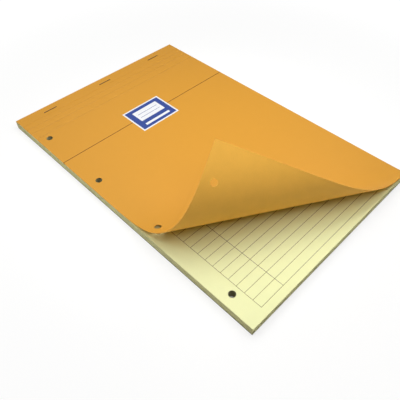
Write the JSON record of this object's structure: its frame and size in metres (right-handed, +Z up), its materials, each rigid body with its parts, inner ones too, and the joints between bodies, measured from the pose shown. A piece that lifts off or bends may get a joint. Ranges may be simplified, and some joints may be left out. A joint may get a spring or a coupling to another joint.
{
  "type": "notepad",
  "caption": "Head-stapled A4+ notepad of yellow ruled sheets on a grey board, with an orange card cover that opens at its score line and has one corner curled up.",
  "frame": {"origin": "the middle of the pad's footprint, at the table", "axes": "+X across the sheets to the right, +Y along the sheets towards the stapled head, +Z up from the table"},
  "size_m": [0.21, 0.3152, 0.0955],
  "materials": {
    "pages": "matt uncoated yellow paper",
    "grey_board": "matt grey board",
    "cover_card": "smooth orange card with a slight sheen",
    "staple_wire": "drawn steel wire"
  },
  "bodies": {
    "pad": {"page_block": "pages", "backing_board": "grey_board", "cover_head": "cover_card", "staple_left": "staple_wire", "staple_middle": "staple_wire", "staple_right": "staple_wire"},
    "cover": {"cover_leaf": "cover_card"}
  },
  "joints": [
    {"name": "cover_hinge", "type": "hinge", "parent": "pad", "child": "cover", "pos_m": [0, 0.14385, 0.0087], "axis": [-1, 0, 0], "range_deg": [0, 160]}
  ]
}
